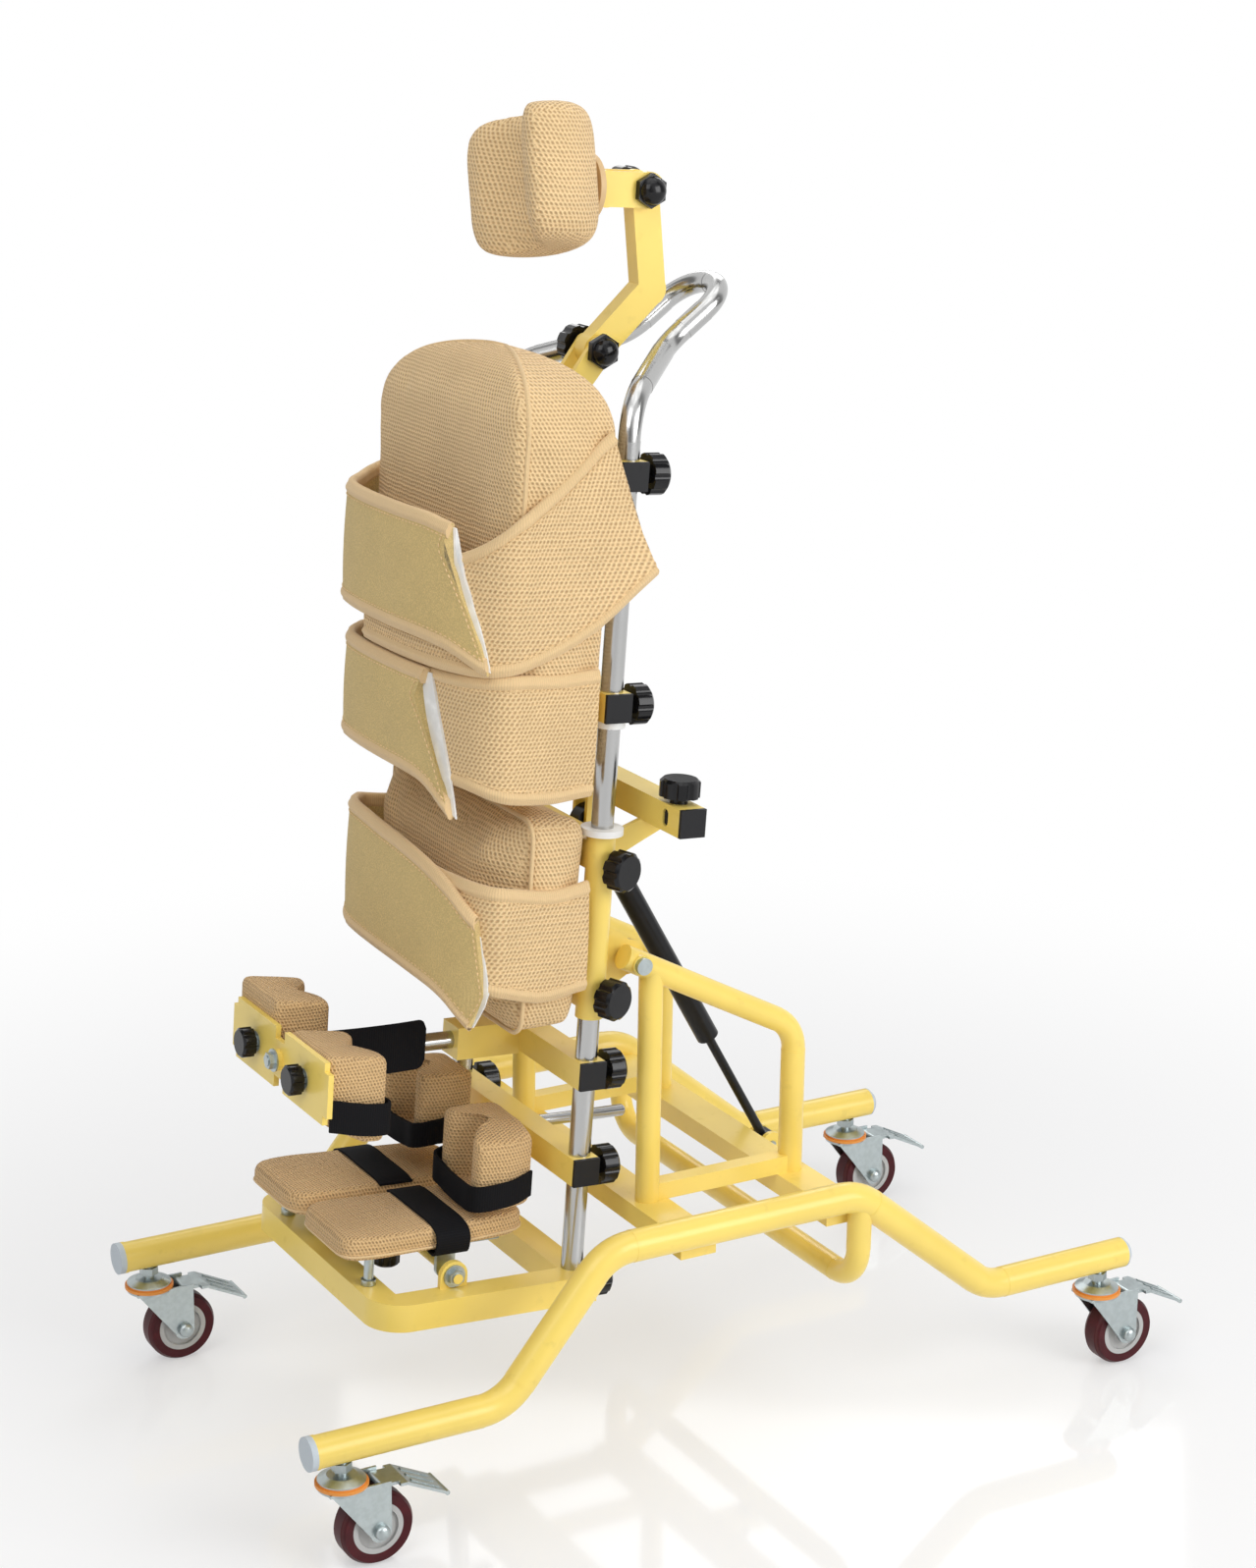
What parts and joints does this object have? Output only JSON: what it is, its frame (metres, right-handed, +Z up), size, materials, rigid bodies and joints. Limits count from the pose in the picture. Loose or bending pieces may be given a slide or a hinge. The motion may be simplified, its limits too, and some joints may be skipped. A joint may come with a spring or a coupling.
{
  "type": "standing frame",
  "caption": "Child's standing frame on braked swivel casters that tilts back, with padded back, thigh, knee, heel and head supports, wrap belts and hinged footplates.",
  "frame": {"origin": "floor level, midway between the front leg caps and the rear pedal tips, on the middle plane", "axes": "+X to the occupant's left, -Y the way the occupant faces, +Z up"},
  "size_m": [0.5352, 1.0232, 1.3396],
  "materials": {
    "yellow": "gloss powder coat",
    "chrome": "polished",
    "zinc": "bright zinc",
    "wheel": "dark red tread",
    "black": "satin gloss",
    "cloth": "knitted air mesh",
    "strut": "satin black"
  },
  "bodies": {
    "base": {"legs": "yellow", "cross_tubes": "yellow", "side_frames": "yellow", "base_fasteners": "zinc"},
    "fork_fl": {"fork_fl": "zinc"},
    "wheel_fl": {"wheel_fl": "wheel"},
    "pedal_fl": {"pedal_fl": "zinc"},
    "fork_fr": {"fork_fr": "zinc"},
    "wheel_fr": {"wheel_fr": "wheel"},
    "pedal_fr": {"pedal_fr": "zinc"},
    "fork_rl": {"fork_rl": "zinc"},
    "wheel_rl": {"wheel_rl": "wheel"},
    "pedal_rl": {"pedal_rl": "zinc"},
    "fork_rr": {"fork_rr": "zinc"},
    "wheel_rr": {"wheel_rr": "wheel"},
    "pedal_rr": {"pedal_rr": "zinc"},
    "tilt": {"pivot_frame": "yellow", "lift_bar": "yellow", "thigh_pad": "cloth", "thigh_belt": "cloth"},
    "handle": {"push_handle": "chrome"},
    "back": {"back_bar": "yellow", "hip_bar": "yellow", "back_pad": "cloth", "chest_belt": "cloth", "hip_belt": "cloth"},
    "head_lower": {"head_lower_arm": "yellow"},
    "head_upper": {"head_upper_arm": "yellow"},
    "head_pad": {"head_pad": "cloth"},
    "lower": {"lower_tubes": "chrome", "foot_frame": "yellow"},
    "thigh_bar": {"thigh_bar": "yellow"},
    "calf_bar": {"calf_bar": "yellow"},
    "knee_arm": {"knee_arm": "chrome"},
    "knee_plate": {"knee_plate": "yellow", "knee_cups": "cloth"},
    "heel_support": {"heel_support": "cloth"},
    "footplate_left": {"footplate_left": "cloth"},
    "footplate_right": {"footplate_right": "cloth"},
    "gas_rod": {"gas_rod": "chrome"},
    "gas_cylinder": {"gas_cylinder": "strut"},
    "back_knob_left": {"back_knob_left": "black"},
    "hip_knob_left": {"hip_knob_left": "black"},
    "thigh_knob_left": {"thigh_knob_left": "black"},
    "calf_knob_left": {"calf_knob_left": "black"},
    "lift_knob_left": {"lift_knob_left": "black"},
    "knee_knob_left": {"knee_knob_left": "black"},
    "foot_knob_left": {"foot_knob_left": "black"},
    "back_knob_right": {"back_knob_right": "black"},
    "hip_knob_right": {"hip_knob_right": "black"},
    "thigh_knob_right": {"thigh_knob_right": "black"},
    "calf_knob_right": {"calf_knob_right": "black"},
    "lift_knob_right": {"lift_knob_right": "black"},
    "knee_knob_right": {"knee_knob_right": "black"},
    "foot_knob_right": {"foot_knob_right": "black"},
    "sleeve_knob_upper": {"sleeve_knob_upper": "black"},
    "sleeve_knob_lower": {"sleeve_knob_lower": "black"},
    "head_lower_knob": {"head_lower_knob": "black"},
    "head_upper_knob": {"head_upper_knob": "black"},
    "foot_frame_knob": {"foot_frame_knob": "black"}
  },
  "joints": [
    {"name": "swivel_fl", "type": "hinge", "parent": "base", "child": "fork_fl", "pos_m": [0.242, -0.47573, 0.0975], "axis": [0, 0, 1], "continuous": true},
    {"name": "roll_fl", "type": "hinge", "parent": "fork_fl", "child": "wheel_fl", "pos_m": [0.242, -0.4437, 0.0375], "axis": [1, 0, 0], "continuous": true},
    {"name": "brake_fl", "type": "hinge", "parent": "fork_fl", "child": "pedal_fl", "pos_m": [0.242, -0.4392, 0.0804], "axis": [1, 0, 0], "range_deg": [0, 12]},
    {"name": "swivel_fr", "type": "hinge", "parent": "base", "child": "fork_fr", "pos_m": [-0.242, -0.47573, 0.0975], "axis": [0, 0, 1], "continuous": true},
    {"name": "roll_fr", "type": "hinge", "parent": "fork_fr", "child": "wheel_fr", "pos_m": [-0.242, -0.4437, 0.0375], "axis": [1, 0, 0], "continuous": true},
    {"name": "brake_fr", "type": "hinge", "parent": "fork_fr", "child": "pedal_fr", "pos_m": [-0.242, -0.4392, 0.0804], "axis": [1, 0, 0], "range_deg": [0, 12]},
    {"name": "swivel_rl", "type": "hinge", "parent": "base", "child": "fork_rl", "pos_m": [0.242, 0.40858, 0.0975], "axis": [0, 0, 1], "continuous": true},
    {"name": "roll_rl", "type": "hinge", "parent": "fork_rl", "child": "wheel_rl", "pos_m": [0.242, 0.4406, 0.0375], "axis": [1, 0, 0], "continuous": true},
    {"name": "brake_rl", "type": "hinge", "parent": "fork_rl", "child": "pedal_rl", "pos_m": [0.242, 0.4451, 0.0804], "axis": [1, 0, 0], "range_deg": [0, 12]},
    {"name": "swivel_rr", "type": "hinge", "parent": "base", "child": "fork_rr", "pos_m": [-0.242, 0.40858, 0.0975], "axis": [0, 0, 1], "continuous": true},
    {"name": "roll_rr", "type": "hinge", "parent": "fork_rr", "child": "wheel_rr", "pos_m": [-0.242, 0.4406, 0.0375], "axis": [1, 0, 0], "continuous": true},
    {"name": "brake_rr", "type": "hinge", "parent": "fork_rr", "child": "pedal_rr", "pos_m": [-0.242, 0.4451, 0.0804], "axis": [1, 0, 0], "range_deg": [0, 12]},
    {"name": "tilt", "type": "hinge", "parent": "base", "child": "tilt", "pos_m": [0, -0.10384, 0.508], "axis": [-1, 0, 0], "range_deg": [0, 45]},
    {"name": "handle_slide", "type": "slide", "parent": "tilt", "child": "handle", "axis": [0, 0.0628, 0.998], "range_m": [-0.01, 0.06]},
    {"name": "back_slide", "type": "slide", "parent": "handle", "child": "back", "axis": [0, 0.0628, 0.998], "range_m": [-0.015, 0.015]},
    {"name": "head_lower", "type": "hinge", "parent": "back", "child": "head_lower", "pos_m": [0, -0.08524, 1.09127], "axis": [1, 0, 0], "range_deg": [-20, 20]},
    {"name": "head_upper", "type": "hinge", "parent": "head_lower", "child": "head_upper", "pos_m": [0, -0.03502, 1.24234], "axis": [1, 0, 0], "range_deg": [-30, 30]},
    {"name": "head_roll", "type": "hinge", "parent": "head_upper", "child": "head_pad", "pos_m": [0, -0.09636, 1.2462], "axis": [0, 0.998, -0.0628], "range_deg": [-20, 20]},
    {"name": "lower_slide", "type": "slide", "parent": "tilt", "child": "lower", "axis": [0, 0.0628, 0.998], "range_m": [-0.025, 0.01]},
    {"name": "thigh_bar_slide", "type": "slide", "parent": "lower", "child": "thigh_bar", "axis": [0, 0.0628, 0.998], "range_m": [-0.01, 0.01]},
    {"name": "calf_bar_slide", "type": "slide", "parent": "lower", "child": "calf_bar", "axis": [0, 0.0628, 0.998], "range_m": [-0.005, 0.01]},
    {"name": "knee_reach", "type": "slide", "parent": "thigh_bar", "child": "knee_arm", "axis": [0, 0.998, -0.0628], "range_m": [-0.03, 0.03]},
    {"name": "knee_turn", "type": "hinge", "parent": "knee_arm", "child": "knee_plate", "pos_m": [0, -0.42686, 0.41787], "axis": [0, 0.998, -0.0628], "range_deg": [-15, 15]},
    {"name": "heel_reach", "type": "slide", "parent": "calf_bar", "child": "heel_support", "axis": [0, 0.998, -0.0628], "range_m": [-0.02, 0.015]},
    {"name": "footplate_left", "type": "hinge", "parent": "lower", "child": "footplate_left", "pos_m": [0.06, -0.30265, 0.21495], "axis": [-1, 0, 0], "range_deg": [0, 15]},
    {"name": "footplate_right", "type": "hinge", "parent": "lower", "child": "footplate_right", "pos_m": [-0.06, -0.30265, 0.21495], "axis": [-1, 0, 0], "range_deg": [0, 15]},
    {"name": "strut_turn", "type": "hinge", "parent": "base", "child": "gas_rod", "pos_m": [0, 0.13849, 0.22458], "axis": [-1, 0, 0], "range_deg": [0, 7.07]},
    {"name": "strut_slide", "type": "slide", "parent": "gas_rod", "child": "gas_cylinder", "axis": [0, -0.4958, 0.8684], "range_m": [-0.0703, 0]},
    {"name": "back_knob_left_turn", "type": "hinge", "parent": "back", "child": "back_knob_left", "pos_m": [0.128, -0.10548, 0.99165], "axis": [0, 0.998, -0.0628], "continuous": true},
    {"name": "hip_knob_left_turn", "type": "hinge", "parent": "back", "child": "hip_knob_left", "pos_m": [0.128, -0.11944, 0.76961], "axis": [0, 0.998, -0.0628], "continuous": true},
    {"name": "thigh_knob_left_turn", "type": "hinge", "parent": "thigh_bar", "child": "thigh_knob_left", "pos_m": [0.128, -0.1427, 0.39999], "axis": [0, 0.998, -0.0628], "continuous": true},
    {"name": "calf_knob_left_turn", "type": "hinge", "parent": "calf_bar", "child": "calf_knob_left", "pos_m": [0.128, -0.14902, 0.29961], "axis": [0, 0.998, -0.0628], "continuous": true},
    {"name": "lift_knob_left_turn", "type": "hinge", "parent": "tilt", "child": "lift_knob_left", "pos_m": [0.16055, -0.07493, 0.67444], "axis": [0, 0.0628, 0.998], "continuous": true},
    {"name": "knee_knob_left_turn", "type": "hinge", "parent": "knee_plate", "child": "knee_knob_left", "pos_m": [0.05712, -0.42686, 0.41787], "axis": [0, -0.998, 0.0628], "continuous": true},
    {"name": "foot_knob_left_turn", "type": "hinge", "parent": "footplate_left", "child": "foot_knob_left", "pos_m": [0.07289, -0.34768, 0.23181], "axis": [0, -0.0628, -0.998], "continuous": true},
    {"name": "back_knob_right_turn", "type": "hinge", "parent": "back", "child": "back_knob_right", "pos_m": [-0.128, -0.10548, 0.99165], "axis": [0, 0.998, -0.0628], "continuous": true},
    {"name": "hip_knob_right_turn", "type": "hinge", "parent": "back", "child": "hip_knob_right", "pos_m": [-0.128, -0.11944, 0.76961], "axis": [0, 0.998, -0.0628], "continuous": true},
    {"name": "thigh_knob_right_turn", "type": "hinge", "parent": "thigh_bar", "child": "thigh_knob_right", "pos_m": [-0.128, -0.1427, 0.39999], "axis": [0, 0.998, -0.0628], "continuous": true},
    {"name": "calf_knob_right_turn", "type": "hinge", "parent": "calf_bar", "child": "calf_knob_right", "pos_m": [-0.128, -0.14902, 0.29961], "axis": [0, 0.998, -0.0628], "continuous": true},
    {"name": "lift_knob_right_turn", "type": "hinge", "parent": "tilt", "child": "lift_knob_right", "pos_m": [-0.16055, -0.07493, 0.67444], "axis": [0, 0.0628, 0.998], "continuous": true},
    {"name": "knee_knob_right_turn", "type": "hinge", "parent": "knee_plate", "child": "knee_knob_right", "pos_m": [-0.05712, -0.42686, 0.41787], "axis": [0, -0.998, 0.0628], "continuous": true},
    {"name": "foot_knob_right_turn", "type": "hinge", "parent": "footplate_right", "child": "foot_knob_right", "pos_m": [-0.07289, -0.34768, 0.23181], "axis": [0, -0.0628, -0.998], "continuous": true},
    {"name": "sleeve_knob_upper_turn", "type": "hinge", "parent": "tilt", "child": "sleeve_knob_upper", "pos_m": [0.128, -0.14337, 0.61229], "axis": [0.9397, 0.3413, -0.0215], "continuous": true},
    {"name": "sleeve_knob_lower_turn", "type": "hinge", "parent": "tilt", "child": "sleeve_knob_lower", "pos_m": [0.128, -0.15154, 0.4825], "axis": [0.9397, 0.3413, -0.0215], "continuous": true},
    {"name": "head_lower_knob_turn", "type": "hinge", "parent": "back", "child": "head_lower_knob", "pos_m": [0, -0.08524, 1.09127], "axis": [1, 0, 0], "continuous": true},
    {"name": "head_upper_knob_turn", "type": "hinge", "parent": "head_lower", "child": "head_upper_knob", "pos_m": [0, -0.03502, 1.24234], "axis": [1, 0, 0], "continuous": true},
    {"name": "foot_frame_knob_turn", "type": "hinge", "parent": "lower", "child": "foot_frame_knob", "pos_m": [0.128, -0.15558, 0.17961], "axis": [0, 0.998, -0.0628], "continuous": true}
  ],
  "couplings": [
    {"joint": "strut_turn", "follows": "tilt", "ratio": 0.135},
    {"joint": "strut_slide", "follows": "tilt", "m_per_rad": -0.087}
  ]
}
